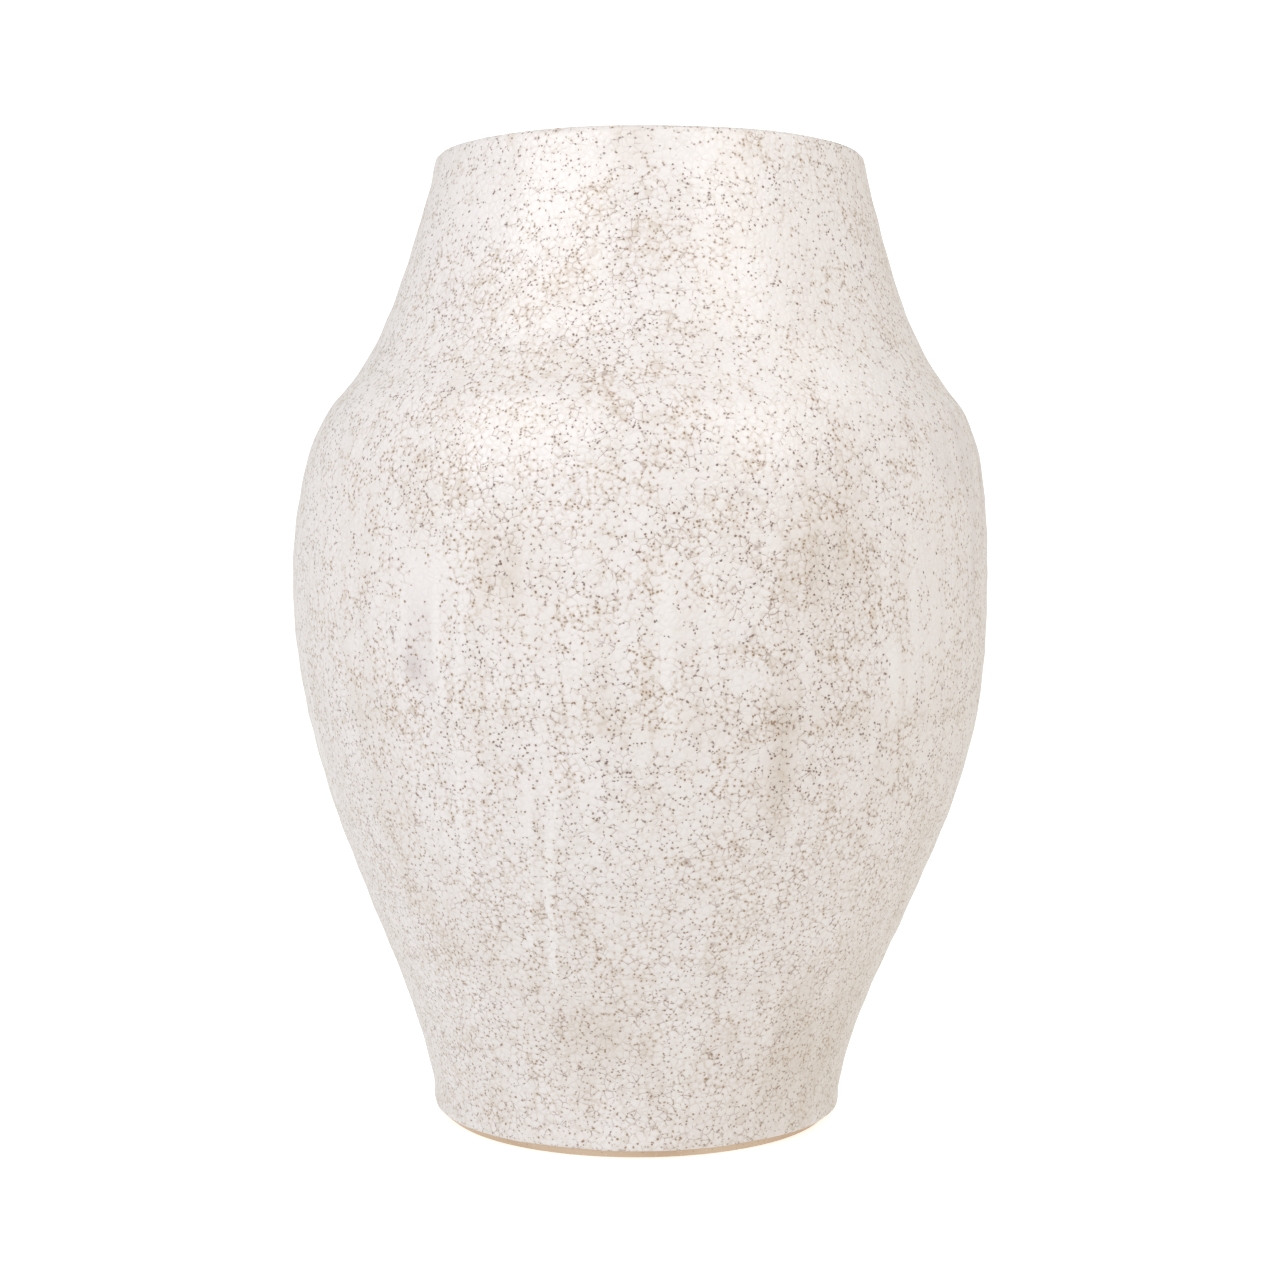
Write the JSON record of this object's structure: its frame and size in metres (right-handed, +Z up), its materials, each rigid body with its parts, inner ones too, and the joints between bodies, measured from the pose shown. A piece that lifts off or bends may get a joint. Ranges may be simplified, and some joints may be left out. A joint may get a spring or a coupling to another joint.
{
  "type": "stoneware vase",
  "caption": "Wheel-thrown stoneware vase with a swelling body, a sharp shoulder, a tapering open neck and a bare clay foot under a crackled glaze.",
  "frame": {"origin": "centre of the ground plane, under the foot ring", "axes": "+Z up along the axis of the wheel, from the foot to the mouth; X and Y are alike"},
  "size_m": [0.304, 0.304, 0.42],
  "materials": {
    "bare_stoneware": "fired bare stoneware clay, warm tan, matte and slightly gritty",
    "joint_slip": "fired joining slip, a shade darker than the clay, matte",
    "outer_glaze": "satin-gloss warm white glaze with a fine crackle, brown and olive iron specks at the crackle's corners, and clear white runs",
    "liner_glaze": "thin glossy warm white glaze lining with soft throwing rings"
  },
  "bodies": {
    "root": {"foot_ring": "bare_stoneware", "foot_joint_slip": "joint_slip", "floor_slab": "bare_stoneware", "floor_joint_slip": "joint_slip", "lower_wall": "bare_stoneware", "belly_joint_slip": "joint_slip", "belly_wall": "bare_stoneware", "shoulder_joint_slip": "joint_slip", "neck_wall": "bare_stoneware", "outer_glaze": "outer_glaze", "liner_glaze": "liner_glaze"}
  },
  "joints": []
}
